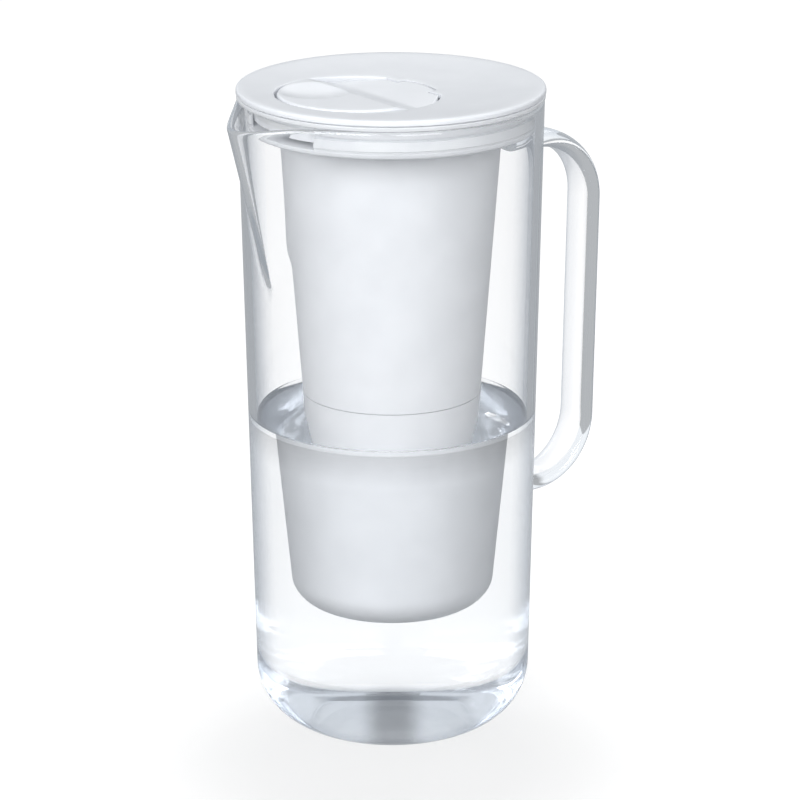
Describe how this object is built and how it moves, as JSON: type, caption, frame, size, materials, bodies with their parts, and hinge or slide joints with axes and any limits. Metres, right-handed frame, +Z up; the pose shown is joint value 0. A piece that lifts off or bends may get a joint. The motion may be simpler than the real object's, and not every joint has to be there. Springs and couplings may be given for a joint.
{
  "type": "water filter pitcher",
  "caption": "Tall clear water filter pitcher with a pulled spout and loop handle, a hanging reservoir with a twist-in cartridge, and a round lid with a flip-up filling flap.",
  "frame": {"origin": "on the axis of the round body, on the flat face that it stands on", "axes": "+Z up, the spout points to -X, the handle to +X, and +Y is to the right of someone who holds the handle and looks along the spout"},
  "size_m": [0.1739, 0.12, 0.261],
  "materials": {
    "clear_plastic": "polished, transparent",
    "frosted_plastic": "satin, translucent",
    "white_plastic": "satin",
    "lid_plastic": "satin",
    "soft_seal": "matte silicone",
    "dark_seal": "matte",
    "steel_pin": "ground",
    "screen": "fine mesh",
    "felt": "needled felt",
    "carbon": "granules",
    "resin": "beads"
  },
  "bodies": {
    "pitcher": {"pitcher_body": "clear_plastic", "handle": "clear_plastic"},
    "reservoir": {"reservoir_tray": "frosted_plastic", "collar_seal": "soft_seal", "reservoir_cup": "white_plastic"},
    "cartridge": {"cartridge_housing": "white_plastic", "cartridge_cap": "white_plastic", "neck_seal": "dark_seal", "inlet_screen": "screen", "inlet_felt": "felt", "carbon_bed": "carbon", "divider_felt": "felt", "resin_bed": "resin", "outlet_felt": "felt", "outlet_screen": "screen"},
    "lid": {"lid_cover": "lid_plastic", "lid_plug": "lid_plastic", "lid_gasket": "soft_seal", "hinge_pin": "steel_pin"},
    "flap": {"flap": "lid_plastic", "flap_seal": "soft_seal"}
  },
  "joints": [
    {"name": "reservoir_lift", "type": "slide", "parent": "pitcher", "child": "reservoir", "axis": [0, 0, 1], "range_m": [0, 0.23]},
    {"name": "cartridge_twist", "type": "hinge", "parent": "reservoir", "child": "cartridge", "pos_m": [0, 0, 0.139], "axis": [0, 0, 1], "range_deg": [0, 90]},
    {"name": "lid_lift", "type": "slide", "parent": "reservoir", "child": "lid", "axis": [0, 0, 1], "range_m": [0, 0.05]},
    {"name": "flap_hinge", "type": "hinge", "parent": "lid", "child": "flap", "pos_m": [0.0127, 0, 0.2576], "axis": [0, 1, 0], "range_deg": [0, 95]}
  ]
}
